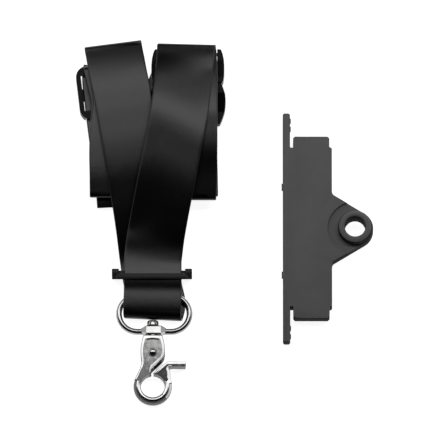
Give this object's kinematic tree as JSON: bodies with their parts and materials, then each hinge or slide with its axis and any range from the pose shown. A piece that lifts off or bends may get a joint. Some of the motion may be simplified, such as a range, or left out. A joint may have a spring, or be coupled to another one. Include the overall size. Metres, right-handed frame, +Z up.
{
  "type": "neck lanyard with clip bracket",
  "caption": "Black webbing neck lanyard folded flat, with keeper bar, adjuster, breakaway buckle and swivel trigger snap hook, beside a moulded bracket with a long rail and a lug eyelet.",
  "frame": {"origin": "on the surface that the kit lies on, under the middle of its bounding box", "axes": "+Z up out of the surface, +Y from the snap hook to the folded straps, +X from the lanyard to the bracket"},
  "size_m": [0.1292, 0.1638, 0.0148],
  "materials": {
    "webbing": "satin woven polyester webbing, black",
    "black_plastic": "smooth black moulded plastic",
    "nickel": "bright nickel plate on a zinc casting",
    "spring_steel": "drawn spring wire",
    "bracket_plastic": "dark grey moulded nylon with a fine spark-eroded grain"
  },
  "bodies": {
    "strap": {"neck_webbing": "webbing", "buckle_female": "black_plastic"},
    "keeper": {"strap_keeper": "black_plastic"},
    "adjuster": {"tri_glide": "black_plastic"},
    "buckle_plug": {"buckle_male": "black_plastic"},
    "loop": {"swivel_loop": "nickel"},
    "hook": {"hook_body": "nickel", "swivel_rivet": "nickel", "trigger_rivet": "nickel", "trigger_spring": "spring_steel"},
    "trigger": {"trigger": "nickel"},
    "bracket": {"bracket_body": "bracket_plastic", "lug_bushing": "bracket_plastic"}
  },
  "joints": [
    {"name": "keeper_slide", "type": "slide", "parent": "strap", "child": "keeper", "axis": [0, 1, 0], "range_m": [-0.0028, 0.004]},
    {"name": "adjuster_slide", "type": "slide", "parent": "strap", "child": "adjuster", "axis": [-0.1184, 0.993, 0], "range_m": [-0.008, 0]},
    {"name": "buckle_release", "type": "slide", "parent": "strap", "child": "buckle_plug", "axis": [0, -1, 0], "range_m": [0, 0.0095], "deforming": ["neck_webbing"]},
    {"name": "loop_swing", "type": "hinge", "parent": "strap", "child": "loop", "pos_m": [-0.03105, -0.0326, 0.0027], "axis": [-1, 0, 0], "range_deg": [0, 120]},
    {"name": "hook_swivel", "type": "hinge", "parent": "loop", "child": "hook", "pos_m": [-0.03105, -0.0485, 0.0027], "axis": [0, 1, 0], "continuous": true},
    {"name": "trigger_pull", "type": "hinge", "parent": "hook", "child": "trigger", "pos_m": [-0.03105, -0.0586, 0.0027], "axis": [0, 0, 1], "range_deg": [0, 26], "stiffness_Nm_per_rad": 0.03, "springref_deg": -20.05},
    {"name": "bracket_lift", "type": "slide", "parent": "strap", "child": "bracket", "axis": [0, 0, 1], "range_m": [0, 0.02]}
  ]
}
